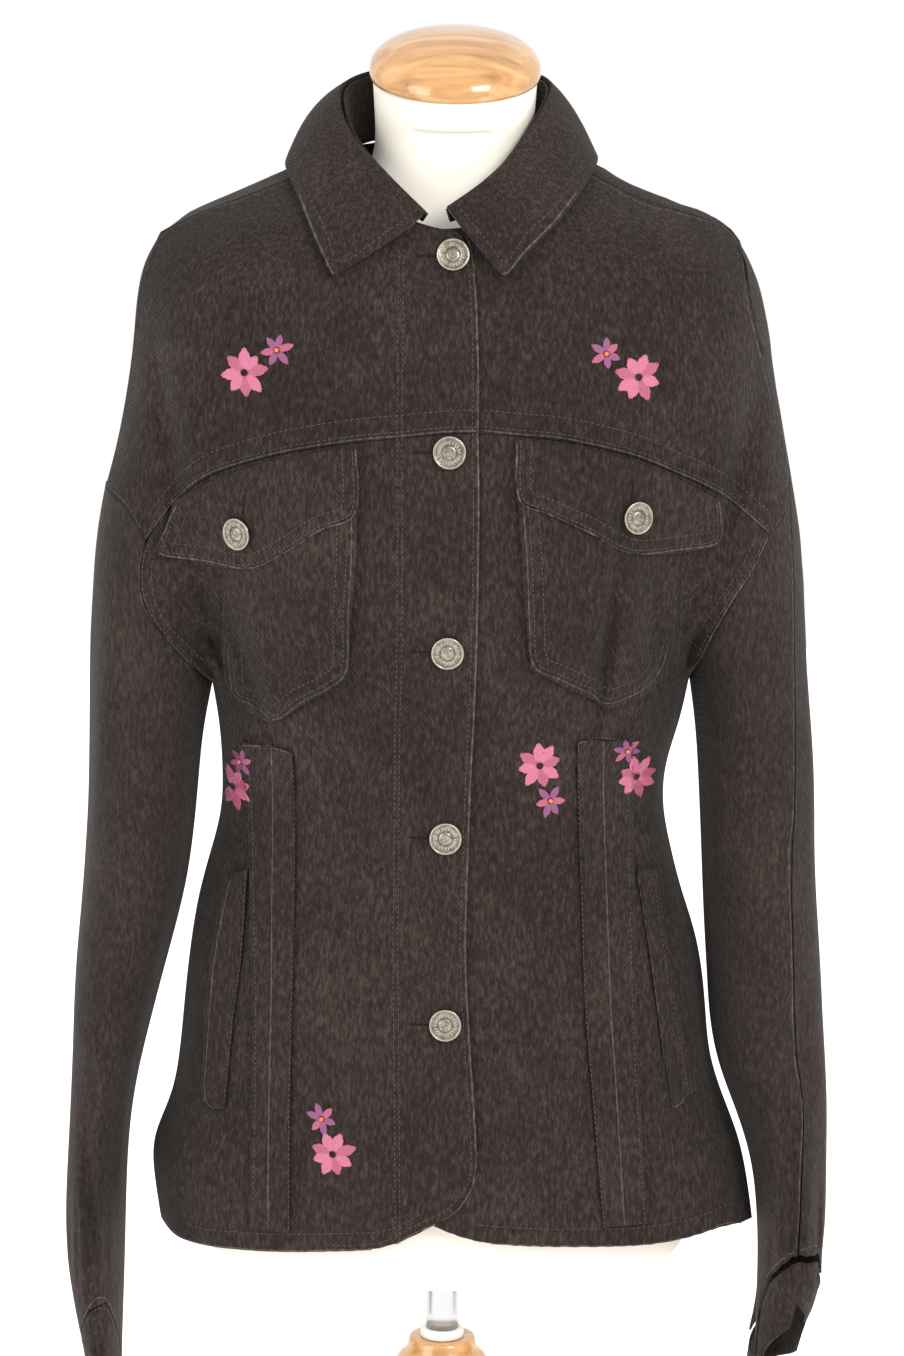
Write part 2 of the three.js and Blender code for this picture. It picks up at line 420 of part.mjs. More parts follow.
// ---------------------------------------------------------------- pieces laid on the panels
const frontPart = "trunk";
function overlay(name, bottom, top, left, right, nu, nv, lift, t) {
  const g = coons(cut(smooth(bottom), nu), cut(smooth(top), nu), cut(smooth(left), nv), cut(smooth(right), nv));
  cloth(name, [raise(g, -1, frontPart, (x, z) => lift(x, z) + t + (x < 0 ? lapR(x) : 0))], t, 0);
}
// A pocket stands off its panel in soft pleats that run down to its point.
const pleat = (x, z, cx, cz) => {
  const a = Math.atan2(x - cx, z - cz);
  return 3.2 * (0.5 - 0.5 * Math.cos(a * 17)) * step(cz + 10, cz + 34, z) * (1 - step(cz + 62, cz + 92, z)) * (1 - step(0.25, 0.42, Math.abs(a)));
};
overlay("chest_pocket_R", [[-138, 868], [-125, 861], [-108, 854], [-92, 868], [-73, 879], [-61, 891]], [[-142, 974], [-130, 979], [-110, 984], [-80, 992], [-57, 1000]], [[-138, 868], [-140, 901], [-139, 928], [-138, 952], [-142, 974]], [[-61, 891], [-60, 925], [-57, 963], [-57, 1000]], 9, 7, (x, z) => 2.4 + pleat(x, z, -108, 850), 1.1);
overlay("chest_pocket_L", [[50, 896], [69, 885], [88, 875], [97, 868], [120, 874], [134, 886]], [[41, 1004], [75, 996], [105, 985], [133, 980], [144, 979]], [[50, 896], [47, 926], [44, 964], [41, 1004]], [[134, 886], [138, 905], [139, 932], [140, 959], [144, 979]], 9, 7, (x, z) => 2.2 + pleat(x, z, 97, 864), 1.1);
overlay("pocket_flap_R", [[-181, 959], [-150, 955], [-123, 953], [-101, 965], [-79, 980], [-57, 991]], [[-170, 992], [-152, 1005], [-130, 1014], [-104, 1022], [-80, 1027], [-57, 1031]], [[-181, 959], [-177, 974], [-170, 992]], [[-57, 991], [-57, 1031]], 8, 4, () => 4.3, 1.2);
overlay("pocket_flap_L", [[41, 1000], [61, 991], [85, 980], [111, 966], [143, 966], [167, 969]], [[39, 1036], [66, 1033.5], [91, 1028.5], [116, 1021], [141, 1010.5], [167, 997]], [[41, 1000], [39, 1036]], [[167, 969], [169, 983], [167, 997]], 8, 4, () => 4.3, 1.2);
const tuckR = [[[-131, 838], [-125, 801], [-123, 739], [-121, 676], [-121, 612], [-122, 530]], [[-97, 838], [-95, 806], [-95, 742], [-96, 679], [-97, 615], [-97, 530]]];
const tuckL = [[[80, 848], [81, 808], [84, 745], [87, 682], [93, 618], [101, 536]], [[113, 845], [115, 806], [117, 741], [119, 679], [123, 614], [129, 536]]];
for (const [n, [a, b]] of [["R", tuckR], ["L", tuckL]]) overlay("tuck_" + n, [a[5], b[5]], [a[0], b[0]], back(a), back(b), 2, 14, () => 1.7, 1);
overlay("pocket_welt_R", [[-154, 605], [-139, 603]], [[-139, 750], [-125, 757]], [[-154, 605], [-152.5, 650], [-148, 702], [-139, 750]], [[-139, 603], [-134, 661], [-129, 700], [-125, 757]], 2, 8, () => 1.2, 1.1);
overlay("pocket_welt_L", [[144, 606], [158, 612]], [[119, 762], [132, 756]], [[144, 606], [137, 650], [129, 703], [119, 762]], [[158, 612], [151.5, 647], [143, 685], [132, 756]], 2, 8, () => 1.2, 1.1);

// ---------------------------------------------------------------- collar: columns from the right front point round the back
// roll line x y z, half way down the leaf, its edge
const COLLAR = [
  [-17, -82, 1173, -37, -92, 1156, -73, -96, 1134],
  [-31, -75, 1186, -52, -86, 1167, -80, -91, 1146],
  [-52, -54, 1205, -70, -71, 1186, -87, -80, 1160],
  [-66, -32, 1222, -84, -47, 1204, -97, -55, 1182],
  [-72, -8, 1238, -92, -20, 1221, -105, -26, 1196],
  [-72, 16, 1249, -93, 14, 1232, -106, 10, 1204],
  [-58, 46, 1257, -76, 56, 1240, -88, 62, 1212],
  [-32, 64, 1262, -42, 79, 1244, -48, 92, 1214],
  [0, 70, 1264, 0, 87, 1245, 0, 101, 1214],
  [34, 63, 1262, 43, 78, 1244, 50, 90, 1213],
  [54, 42, 1257, 68, 52, 1240, 80, 60, 1211],
  [62, 14, 1250, 78, 12, 1232, 91, 8, 1207],
  [56, -14, 1238, 72, -22, 1220, 88, -28, 1199],
  [46, -34, 1222, 61, -50, 1202, 78, -60, 1184],
  [33, -54, 1205, 46, -72, 1186, 62, -84, 1165],
  [17, -70, 1190, 27, -87, 1169, 44, -96, 1148],
  [-4, -84, 1176, 10, -93, 1158, 31, -99, 1134],
];
{
  const c = cut(smooth(COLLAR, 3), 30), nv = 5;
  const grid = (f) => {
    const P = c.map((r) => Array.from({ length: nv + 1 }, (_, j) => f(r, j / nv)));
    return P.map((col, i) => col.map((p, j) => {
      const a = P[Math.min(i + 1, P.length - 1)][j].clone().sub(P[Math.max(i - 1, 0)][j]), b = col[Math.min(j + 1, nv)].clone().sub(col[Math.max(j - 1, 0)]);
      return { p, n: b.cross(a).normalize() };
    }));
  };
  const bez = (r, t) => { const q = (k) => { const m = 2 * r[k + 3] - 0.5 * (r[k] + r[k + 6]); return (1 - t) ** 2 * r[k] + 2 * t * (1 - t) * m + t * t * r[k + 6]; }; return V(q(0), q(1), q(2)); };
  const leaf = grid(bez);
  if (leaf[15][2].n.y < 0) leaf.forEach((col) => col.forEach((q) => q.n.negate()));
  cloth("collar_leaf", [leaf], 1.8, 0);
  // the stand rises from inside the neckline to just inside the roll
  const NECK = [[-19, -72, 1166], [-30, -68, 1173], [-47, -50, 1187], [-60, -27, 1199], [-65, -6, 1206], [-63, 14, 1210], [-50, 40, 1214], [-28, 54, 1216], [0, 59, 1217], [28, 54, 1216], [50, 38, 1213], [60, 14, 1209], [58, -12, 1205], [50, -30, 1197], [36, -48, 1184], [18, -64, 1173], [-2, -73, 1166]];
  const nk = cut(smooth(NECK, 3), 30);
  const st = c.map((r, i) => [0, 0.5, 1].map((t) => { const a = V(...nk[i]), b = V(r[0] * 0.965, (r[1] + 2) * 0.965 - 2, r[2] - 2.5); return a.lerp(b, t); }));
  const stand = st.map((col, i) => col.map((p, j) => {
    const a = st[Math.min(i + 1, 30)][j].clone().sub(st[Math.max(i - 1, 0)][j]), b = col[Math.min(j + 1, 2)].clone().sub(col[Math.max(j - 1, 0)]);
    const n = b.cross(a).normalize();
    return { p, n: n.dot(V(p.x, p.y, 0)) < 0 ? n.negate() : n };
  }));
  cloth("collar_stand", [stand], 1.4, 0);
}

// ---------------------------------------------------------------- buttons: a domed disc with a rim, 20 mm across
function button(name, x, z, lift) {
  const { p, n } = at(x, z, -1, "trunk", lift);
  const a = V(1, 0, 0).addScaledVector(n, -n.x).normalize(), b = n.clone().cross(a);
  const prof = [[9.4, 0], [10.2, 0.8], [10.2, 2], [9.2, 2.6], [8.2, 2.1], [4.4, 2.1], [3.6, 2.7]];
  loft(name, prof.map(([r, h]) => ring(20, (t) => p.clone().addScaledVector(a, r * Math.cos(t)).addScaledVector(b, r * Math.sin(t)).addScaledVector(n, h).toArray())), "metal");
}
[[0, 1146], [-1, 1028], [-1, 905], [-1, 786], [0, 668]].forEach(([x, z], i) => button("button_front_" + (i + 1), x, z, 1.8));
button("button_flap_R", -127, 976, 6.3);
button("button_flap_L", 111, 989, 6.3);

// ---------------------------------------------------------------- the dress form: height, half width, to the front, to the back
const FORM = [
  [482, 120, 62, 66], [486, 142, 80, 84], [496, 156, 90, 94], [512, 163, 94, 99], [560, 162, 94, 99], [620, 156, 92, 95], [680, 144, 88, 87], [740, 130, 84, 78],
  [790, 122, 82, 74], [840, 124, 87, 79], [880, 128, 93, 84], [930, 134, 99, 88], [980, 137, 99, 91], [1030, 138, 95, 91], [1075, 138, 90, 88], [1110, 136, 83, 82],
  [1140, 128, 72, 74], [1160, 108, 58, 64], [1176, 80, 49, 57], [1190, 59, 46, 52], [1204, 51, 46, 49], [1220, 50, 47, 49],
];
const section = (hw, f, b, p = 2.3) => ring(32, (t) => { const c = Math.cos(t), d = Math.sin(t), k = (Math.abs(c) ** p + Math.abs(d) ** p) ** (-1 / p); return [hw * k * c, (d < 0 ? f : b) * k * d]; });
const rows = FORM.map(([z, w, f, b]) => section(w, f, b, z > 1195 ? 2 : 2.3).map(([x, y]) => [x, y, z]));
// the neck's top plane tips forward
const tip = (z0, r, tilt = 0.3) => section(r, r, r, 2).map(([x, y]) => [x, y + 1, z0 + y * tilt]);
rows.push(tip(1236, 51), tip(1253, 52));
loft("form_torso", rows, "form");
loft("neck_cap", [tip(1253.6, 53), tip(1256, 54.5), tip(1264, 54.5), tip(1271, 49), tip(1277, 39, 0.27), tip(1281.5, 26, 0.25), tip(1283.5, 12, 0.22)], "wood");

// ---------------------------------------------------------------- the stand
const turn = (name, prof, kind, n = 28) => loft(name, prof.map(([r, z]) => ring(n, (t) => [r * Math.cos(t), r * Math.sin(t), z])), kind);
turn("pole", [[11, 436.6], [11, 481.6]], "metal");
turn("pole_bushing", [[14.5, 430.4], [14.5, 434.6], [13.4, 436.2]], "white");
turn("stand_column", [[24, 112], [29, 116], [30, 150], [25, 170], [22, 200], [20, 260], [21, 320], [25, 360], [29, 384], [30, 396], [27, 404], [31, 410], [31, 416], [24, 422], [23, 427], [21.5, 430]], "wood", 32);
for (let k = 0; k < 3; k++) {
  const w = Math.PI + (k * 2 * Math.PI) / 3, path = [[31, 172, 20], [60, 176, 19], [100, 160, 18], [140, 122, 17], [175, 74, 16], [205, 34, 15], [238.5, 13, 13]];
  loft("stand_leg_" + (k + 1), path.map(([r, z, h], i) => {
    const a = path[Math.max(i - 1, 0)], b = path[Math.min(i + 1, 6)], L = Math.hypot(b[0] - a[0], b[1] - a[1]);
    const flat = i === 6;
    const ux = flat ? 1 : i === 0 ? 0 : -(b[1] - a[1]) / L, uz = flat ? 0 : i === 0 ? 1 : (b[0] - a[0]) / L;
    return ring(12, (t) => {
      const c = Math.cos(t), d = Math.sin(t), k2 = (Math.abs(c) ** 3 + Math.abs(d) ** 3) ** (-1 / 3);
      const rr = r + ux * h * k2 * c, zz = flat ? 0 : z + uz * h * k2 * c, s = 13 * k2 * d;
      return [rr * Math.cos(w) - s * Math.sin(w), rr * Math.sin(w) + s * Math.cos(w), zz];
    });
  }), "wood");
}

export default group;
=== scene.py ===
"""A washed-black denim jacket on a cream dress form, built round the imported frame. Metres, Z up, front towards -Y."""
import math

import bmesh
import bpy
import numpy as np
from mathutils import Matrix, Vector
from mathutils.bvhtree import BVHTree


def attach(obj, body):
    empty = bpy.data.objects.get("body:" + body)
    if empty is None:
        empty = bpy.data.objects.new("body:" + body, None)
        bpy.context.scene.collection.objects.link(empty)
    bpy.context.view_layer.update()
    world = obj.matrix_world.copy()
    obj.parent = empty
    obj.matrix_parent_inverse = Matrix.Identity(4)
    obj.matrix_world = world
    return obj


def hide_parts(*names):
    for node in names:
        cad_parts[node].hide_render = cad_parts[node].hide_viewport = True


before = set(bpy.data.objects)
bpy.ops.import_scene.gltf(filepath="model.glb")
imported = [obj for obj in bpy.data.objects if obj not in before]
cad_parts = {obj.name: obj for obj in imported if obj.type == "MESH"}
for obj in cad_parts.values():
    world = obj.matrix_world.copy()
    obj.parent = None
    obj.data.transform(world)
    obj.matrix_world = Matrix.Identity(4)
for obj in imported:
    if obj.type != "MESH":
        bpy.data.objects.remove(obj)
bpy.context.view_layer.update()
scene = bpy.context.scene

# ------------------------------------------------------------------ camera
cam_data = bpy.data.cameras.new("camera")
cam = bpy.data.objects.new("camera", cam_data)
scene.collection.objects.link(cam)
cam.location = (0.002, -2.350, 1.2438)
cam_data.sensor_width = 36
cam_data.sensor_fit = "AUTO"
cam_data.lens = 97.94
cam.rotation_mode = "XYZ"
cam.rotation_euler = (math.radians(81), 0, 0)
cam.matrix_world = Matrix.Translation(cam.location) @ Matrix.Rotation(math.radians(81), 4, "X") @ Matrix.Rotation(math.radians(0.6), 4, "Z")
scene.camera = cam


# ------------------------------------------------------------------ materials
def new_mat(name):
    m = bpy.data.materials.new(name)
    m.use_nodes = True
    nt = m.node_tree
    b = nt.nodes["Principled BSDF"]
    return m, nt, b


def N(nt, kind, **kw):
    n = nt.nodes.new(kind)
    for k, v in kw.items():
        setattr(n, k, v)
    return n


def ramp(nt, src, stops):
    r = N(nt, "ShaderNodeValToRGB")
    els = r.color_ramp.elements
    while len(els) < len(stops):
        els.new(0.5)
    for e, (p, c) in zip(els, stops):
        e.position = p
        e.color = (*c, 1)
    nt.links.new(src, r.inputs["Fac"])
    return r


def denim(name, dark, mid, light, twill=0.5, wear_and_highlight=0.0):
    m, nt, b = new_mat(name)
    b.inputs["Roughness"].default_value = 0.92
    b.inputs["Specular IOR Level"].default_value = 0.14
    b.inputs["Sheen Weight"].default_value = 0.05
    b.inputs["Sheen Roughness"].default_value = 0.5
    tc = N(nt, "ShaderNodeTexCoord")
    big = N(nt, "ShaderNodeTexNoise")
    big.inputs["Scale"].default_value = 14
    big.inputs["Detail"].default_value = 5
    big.inputs["Roughness"].default_value = 0.62
    nt.links.new(tc.outputs["Object"], big.inputs["Vector"])
    mp = N(nt, "ShaderNodeMapping")
    mp.inputs["Scale"].default_value = (1, 1, 0.35)
    nt.links.new(tc.outputs["Object"], mp.inputs["Vector"])
    slub = N(nt, "ShaderNodeTexNoise")
    slub.inputs["Scale"].default_value = 520
    slub.inputs["Detail"].default_value = 3
    nt.links.new(mp.outputs["Vector"], slub.inputs["Vector"])
    tw = N(nt, "ShaderNodeTexWave", wave_type="BANDS", bands_direction="DIAGONAL")
    tw.inputs["Scale"].default_value = 190
    tw.inputs["Distortion"].default_value = 1.2
    tw.inputs["Detail"].default_value = 2
    tw.inputs["Detail Scale"].default_value = 2.0
    mt = N(nt, "ShaderNodeMapping")
    mt.inputs["Scale"].default_value = (1.4, 0.4, 1.0)
    nt.links.new(tc.outputs["Object"], mt.inputs["Vector"])
    nt.links.new(mt.outputs["Vector"], tw.inputs["Vector"])
    mix = N(nt, "ShaderNodeMix", data_type="FLOAT")
    mix.inputs[0].default_value = 0.72
    nt.links.new(big.outputs["Fac"], mix.inputs[2])
    nt.links.new(slub.outputs["Fac"], mix.inputs[3])
    mix2 = N(nt, "ShaderNodeMix", data_type="FLOAT")
    mix2.inputs[0].default_value = 0.16 * twill
    nt.links.new(mix.outputs[0], mix2.inputs[2])
    nt.links.new(tw.outputs["Fac"], mix2.inputs[3])
    r = ramp(nt, mix2.outputs[0], [(0.30, dark), (0.5, mid), (0.70, light)])
    nt.links.new(r.outputs["Color"], b.inputs["Base Color"])
    add = N(nt, "ShaderNodeMath", operation="ADD")
    nt.links.new(tw.outputs["Fac"], add.inputs[0])
    nt.links.new(slub.outputs["Fac"], add.inputs[1])
    bump = N(nt, "ShaderNodeBump")
    bump.inputs["Strength"].default_value = 0.35
    bump.inputs["Distance"].default_value = 0.0005
    nt.links.new(add.outputs[0], bump.inputs["Height"])
    nt.links.new(bump.outputs["Normal"], b.inputs["Normal"])
    return m


DENIM = denim("denim", (0.0085, 0.0056, 0.0045), (0.0225, 0.0155, 0.0127), (0.056, 0.041, 0.034))
DENIM_SLEEVE = denim("denim_sleeve", (0.011, 0.0075, 0.006), (0.0255, 0.018, 0.0148), (0.052, 0.038, 0.031), 0.3)
# pale denim for the edge and seam ridges: partly real wear, partly painted highlight where raised edges catch the light
WORN_AND_HIGHLIGHT = denim("denim_worn_edge_and_highlight", (0.030, 0.0235, 0.020), (0.070, 0.057, 0.049), (0.135, 0.115, 0.100))


def plain(name, color, rough=0.6, metal=0.0, spec=0.5, coat=0.0):
    m, nt, b = new_mat(name)
    b.inputs["Base Color"].default_value = (*color, 1)
    b.inputs["Roughness"].default_value = rough
    b.inputs["Metallic"].default_value = metal
    b.inputs["Specular IOR Level"].default_value = spec
    b.inputs["Coat Weight"].default_value = coat
    b.inputs["Coat Roughness"].default_value = 0.06
    return m, nt, b


THREAD = plain("stitch_thread", (0.082, 0.070, 0.062), 0.8, spec=0.2)[0]
SLIT = plain("buttonhole_thread", (0.014, 0.012, 0.011), 0.9, spec=0.1)[0]
PINK = plain("floss_pink", (0.47, 0.13, 0.215), 0.45, spec=0.4)[0]
ROSE = plain("floss_rose", (0.36, 0.085, 0.145), 0.45, spec=0.4)[0]
PURPLE = plain("floss_purple", (0.215, 0.065, 0.15), 0.45, spec=0.4)[0]
ORANGE = plain("floss_orange", (0.75, 0.20, 0.05), 0.45, spec=0.4)[0]
METAL, nt, b = plain("antique_nickel", (0.46, 0.42, 0.36), 0.34, 1.0)
tcn = N(nt, "ShaderNodeTexCoord")
no = N(nt, "ShaderNodeTexNoise")
no.inputs["Scale"].default_value = 420
nt.links.new(tcn.outputs["Object"], no.inputs["Vector"])
rr = ramp(nt, no.outputs["Fac"], [(0.35, (0.17, 0.15, 0.12)), (0.62, (0.36, 0.325, 0.265))])
nt.links.new(rr.outputs["Color"], b.inputs["Base Color"])
METAL_DARK = plain("antique_recess", (0.13, 0.115, 0.095), 0.5, 1.0)[0]
METAL_HI = plain("antique_high", (0.42, 0.385, 0.32), 0.32, 1.0)[0]
STEEL = plain("pole_steel", (0.55, 0.55, 0.55), 0.3, 1.0)[0]
WHITE = plain("white_plastic", (0.86, 0.86, 0.84), 0.35)[0]
# cream jersey of the form
CREAM, nt, b = plain("form_jersey", (0.84, 0.79, 0.70), 0.85, spec=0.2)
tcn = N(nt, "ShaderNodeTexCoord")
no = N(nt, "ShaderNodeTexNoise")
no.inputs["Scale"].default_value = 900
nt.links.new(tcn.outputs["Object"], no.inputs["Vector"])
bu = N(nt, "ShaderNodeBump")
bu.inputs["Strength"].default_value = 0.15
bu.inputs["Distance"].default_value = 0.0003
nt.links.new(no.outputs["Fac"], bu.inputs["Height"])
nt.links.new(bu.outputs["Normal"], b.inputs["Normal"])
# varnished pine with a running grain
PINE, nt, b = plain("pine", (0.7, 0.45, 0.22), 0.3, coat=0.9)
tcn = N(nt, "ShaderNodeTexCoord")
mp = N(nt, "ShaderNodeMapping")
mp.inputs["Scale"].default_value = (5, 60, 70)
nt.links.new(tcn.outputs["Object"], mp.inputs["Vector"])
no = N(nt, "ShaderNodeTexNoise")
no.inputs["Scale"].default_value = 1.6
no.inputs["Detail"].default_value = 6
no.inputs["Distortion"].default_value = 0.7
nt.links.new(mp.outputs["Vector"], no.inputs["Vector"])
rr = ramp(nt, no.outputs["Fac"], [(0.3, (0.36, 0.16, 0.045)), (0.5, (0.56, 0.29, 0.10)), (0.7, (0.68, 0.40, 0.165))])
nt.links.new(rr.outputs["Color"], b.inputs["Base Color"])


# ------------------------------------------------------------------ folds of the cloth, in millimetres
def bump_at(x, z, cx, cz, sx, sz, ang=0.0):
    c, s = math.cos(ang), math.sin(ang)
    u = ((x - cx) * c + (z - cz) * s) / sx
    v = (-(x - cx) * s + (z - cz) * c) / sz
    return np.exp(-(u**2) - v**2)


# front folds: centre x, z, half width across, half length, lean, height
FOLDS = [
    (-176, 1030, 7, 62, 0.14, -5.5), (-160, 1040, 9, 55, 0.16, 2.5), (181, 1020, 8, 60, -0.2, -5.0), (165, 1030, 9, 55, -0.2, 2.2),
    (-128, 890, 4.5, 48, 0.34, -5.5), (-117, 905, 5, 45, 0.30, 3.2), (-146, 905, 4, 34, 0.32, -3.6), (-139, 920, 4, 40, 0.30, 2.4),
    (96, 900, 4.5, 62, -0.10, -5.5), (107, 905, 6, 52, -0.14, 3.2), (128, 905, 5, 45, 0.12, -3.0), (118, 890, 6, 40, 0.0, 1.8),
    (-60, 770, 40, 9, 0.25, 1.6), (-70, 745, 42, 8, 0.2, -1.4), (60, 800, 40, 9, -0.22, 1.6), (70, 760, 38, 8, -0.3, -1.6),
    (-160, 830, 22, 6, 0.5, -2.0), (158, 815, 22, 6, -0.5, -2.2), (-150, 560, 16, 40, 0.0, 2.5), (-60, 600, 20, 60, 0.1, 1.6), (70, 590, 22, 55, -0.1, 1.8),
    (150, 600, 12, 60, 0.1, -2.0), (-135, 640, 10, 70, 0.0, -1.6), (-45, 940, 9, 60, 0.0, -1.2), (-15, 1000, 10, 25, 0.9, 1.2), (-12, 880, 9, 22, 0.9, 1.2), (-14, 1110, 10, 22, 0.9, 1.4), (-14, 760, 9, 20, -0.8, 1.0),
]
SLEEVE_FOLDS = [
    (-205, 905, 9, 70, -0.1, -3.5), (-218, 860, 8, 60, -0.1, 2.5), (-200, 800, 26, 8, 0.5, -2.4), (-205, 770, 28, 8, 0.45, 2.2), (-210, 720, 26, 8, 0.4, -1.8),
    (-228, 540, 4, 46, 0.05, -4.0), (-220, 520, 4, 42, -0.05, 3.0), (-236, 520, 4, 38, 0.05, 2.4), (-214, 560, 4, 50, -0.1, -2.5), (-230, 640, 8, 30, 0.7, 1.8),
    (208, 850, 26, 8, -0.5, -2.2), (205, 800, 28, 9, -0.45, 2.2), (212, 740, 26, 9, -0.5, -2.0), (215, 690, 24, 9, -0.4, 1.8),
    (222, 560, 5, 60, 0.05, -3.5), (236, 545, 5, 50, 0.0, 3.0), (214, 540, 4, 46, 0.1, 2.4), (243, 520, 4, 36, 0.05, -2.4), (228, 640, 5, 60, 0.1, -2.0),
]


def front_fold(x, z):
    d = np.zeros_like(x)
    for cx, cz, sx, sz, a, h in FOLDS:
        d += h * bump_at(x, z, cx, cz, sx, sz, a)
    # small puckers along the hem and the yoke seam
    d += 0.5 * np.sin(x * 0.62 + 1.3 * np.sin(x * 0.11)) * np.exp(-(((z - 528) / 11) ** 2))
    return d


def back_fold(x, z):
    d = np.zeros_like(x)
    for cx, cz, sx, sz, a, h in [(-150, 930, 9, 60, 0.2, -4), (150, 930, 9, 60, -0.2, -4), (-60, 800, 60, 10, 0.15, 2.4), (50, 770, 60, 10, -0.12, -2.2), (0, 830, 70, 10, 0, 1.6), (-110, 620, 18, 70, 0, 2.6), (90, 600, 20, 70, 0, 2.4), (0, 600, 18, 60, 0, -1.6), (-70, 960, 10, 50, 0.1, -1.4), (70, 960, 10, 50, -0.1, -1.4)]:
        d += h * bump_at(x, z, cx, cz, sx, sz, a)
    return d


def sleeve_fold(x, z, front):
    d = np.zeros_like(x)
    for cx, cz, sx, sz, a, h in SLEEVE_FOLDS:
        d += h * bump_at(x, z, cx if front else cx * 0.99, cz + (0 if front else 24), sx, sz, a if front else -a)
    d += 1.1 * np.sin(x * 1.05 + 0.8) * np.exp(-(((z - 505) / 26) ** 2))
    return d


def noise3(p, scale, seed):
    """Smooth repeatable waves that aren't even, from a few sines."""
    g = np.random.default_rng(seed)
    d = np.zeros(len(p))
    for _ in range(7):
        k = g.normal(size=3)
        k /= np.linalg.norm(k)
        d += np.sin(p @ k * scale * g.uniform(0.6, 1.7) + g.uniform(0, 6.28))
    return d / 7


def fold_points(name, P):
    """P in mm, moved by the folds, the same for a panel and for what lies on it."""
    x, y, z = P.T
    front = y < 0
    fade = np.clip(np.abs(y) / 22, 0, 1)
    if name.startswith("sleeve") or name.startswith("cuff"):
        mid = np.interp(z, [365, 500, 640, 760, 868], [-12, -12, -10, -6, 0])
        fade = np.clip(np.abs(y - mid) / 16, 0, 1)
        f = y < mid
        d = np.where(f, sleeve_fold(x, z, True), sleeve_fold(x, z, False)) * fade
        d *= 1.35
        d += 1.3 * noise3(P, 0.05, 3) * fade
        d *= np.clip((z - 425) / 30, 0.15, 1)
        top = np.clip((985 - z) / 60, 0, 1)
        d *= top
        out = P.copy()
        out[:, 1] += np.where(f, -d, d)
        return out
    d = np.where(front, front_fold(x, z), back_fold(x, z)) * fade
    d += 0.8 * noise3(P, 0.045, 5) * fade
    # quiet near the armholes, where the sleeve's own edge must still meet it
    edge = np.clip((np.abs(x) - 175) / 20, 0, 1) * np.clip((z - 860) / 20, 0, 1) * np.clip((1010 - z) / 20, 0, 1)
    d *= 1 - edge
    d = np.clip(d * 1.25, -7, 5.5)
    out = P.copy()
    out[:, 1] += np.where(front, -d, d)
    return out


def fine(node, mat, levels, fold=False, smooth_mesh=True, crease=35):
    """A finer copy of a CAD node's solid, its folds moved in."""
    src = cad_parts[node]
    me = src.data.copy()
    me.materials.clear()
    obj = bpy.data.objects.new("fine_" + node, me)
    scene.collection.objects.link(obj)
    bm = bmesh.new()
    bm.from_mesh(me)
    bmesh.ops.remove_doubles(bm, verts=bm.verts, dist=2e-6)
    bmesh.ops.recalc_face_normals(bm, faces=bm.faces)
    bmesh.ops.join_triangles(bm, faces=bm.faces, angle_face_threshold=math.radians(28), angle_shape_threshold=math.radians(60), cmp_seam=False, cmp_sharp=False, cmp_uvs=False, cmp_vcols=False, cmp_materials=False)
    layer = bm.edges.layers.float.get("crease_edge") or bm.edges.layers.float.new("crease_edge")
    for e in bm.edges:
        if len(e.link_faces) == 2 and e.calc_face_angle(0) > math.radians(crease):
            e[layer] = 1.0
    bm.to_mesh(me)
    bm.free()
    s = obj.modifiers.new("s", "SUBSURF")
    s.levels = s.render_levels = levels
    s.boundary_smooth = "PRESERVE_CORNERS"
    dg = bpy.context.evaluated_depsgraph_get()
    me2 = bpy.data.meshes.new_from_object(obj.evaluated_get(dg))
    obj.modifiers.clear()
    obj.data = me2
    if fold:
        co = np.empty(len(me2.vertices) * 3)
        me2.vertices.foreach_get("co", co)
        P = co.reshape(-1, 3) * 1000
        P = fold_points(node, P)
        me2.vertices.foreach_set("co", (P / 1000).ravel())
        me2.update()
    me2.materials.clear()
    me2.materials.append(mat)
    me2.polygons.foreach_set("use_smooth", [True] * len(me2.polygons))
    me2.set_sharp_from_angle(angle=math.radians(48))
    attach(obj, "root")
    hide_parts(node)
    return obj


CLOTH = [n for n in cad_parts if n.startswith(("front_", "back_", "sleeve_", "cuff_", "collar_", "chest_", "pocket_", "tuck_")) ]
visual = {}
for n in sorted(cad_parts):
    if n in CLOTH:
        o = fine(n, DENIM_SLEEVE if n.startswith("sleeve") else DENIM, 2 if n.startswith(("cuff_", "back_yoke")) else 3, fold=not n.startswith("collar"))
        me = o.data
        area = sum(p.area for p in me.polygons) / 2
    elif n.startswith("button"):
        o = fine(n, METAL, 1)
    elif n == "form_torso":
        o = fine(n, CREAM, 2)
    elif n == "pole":
        o = fine(n, STEEL, 2)
    elif n == "pole_bushing":
        o = fine(n, WHITE, 2)
    else:
        o = fine(n, PINE, 2, crease=50)
    visual[n] = o


# ------------------------------------------------------------------ laying details on the front
def tree(names):
    verts, faces = [], []
    for n in names:
        me = visual[n].data
        k = len(verts)
        verts += [v.co.copy() for v in me.vertices]
        faces += [[k + i for i in p.vertices] for p in me.polygons]
    return BVHTree.FromPolygons(verts, faces)


BODY = tree([n for n in CLOTH if not n.startswith(("collar", "back_body"))])
COLLAR = tree(["collar_leaf"])


def drop(x, z, t=BODY):
    """The cloth's outer face straight behind (x, z), in metres, and its normal."""
    p, n, _, _ = t.ray_cast(Vector((x / 1000, -0.5, z / 1000)), Vector((0, 1, 0)))
    if p is None:
        return None, None
    if n.y > 0:
        n = -n
    return p, n


def smooth_line(pts, step=1.0):
    P = np.array(pts, float)
    out = []
    for i in range(len(P) - 1):
        a, b, c, d = P[max(i - 1, 0)], P[i], P[i + 1], P[min(i + 2, len(P) - 1)]
        k = max(2, int(np.linalg.norm(c - b) / step))
        for s in np.linspace(0, 1, k, endpoint=False):
            out.append(0.5 * (2 * b + (c - a) * s + (2 * a - 5 * b + 4 * c - d) * s * s + (3 * b - a - 3 * c + d) * s**3))
    out.append(P[-1])
    return np.array(out)


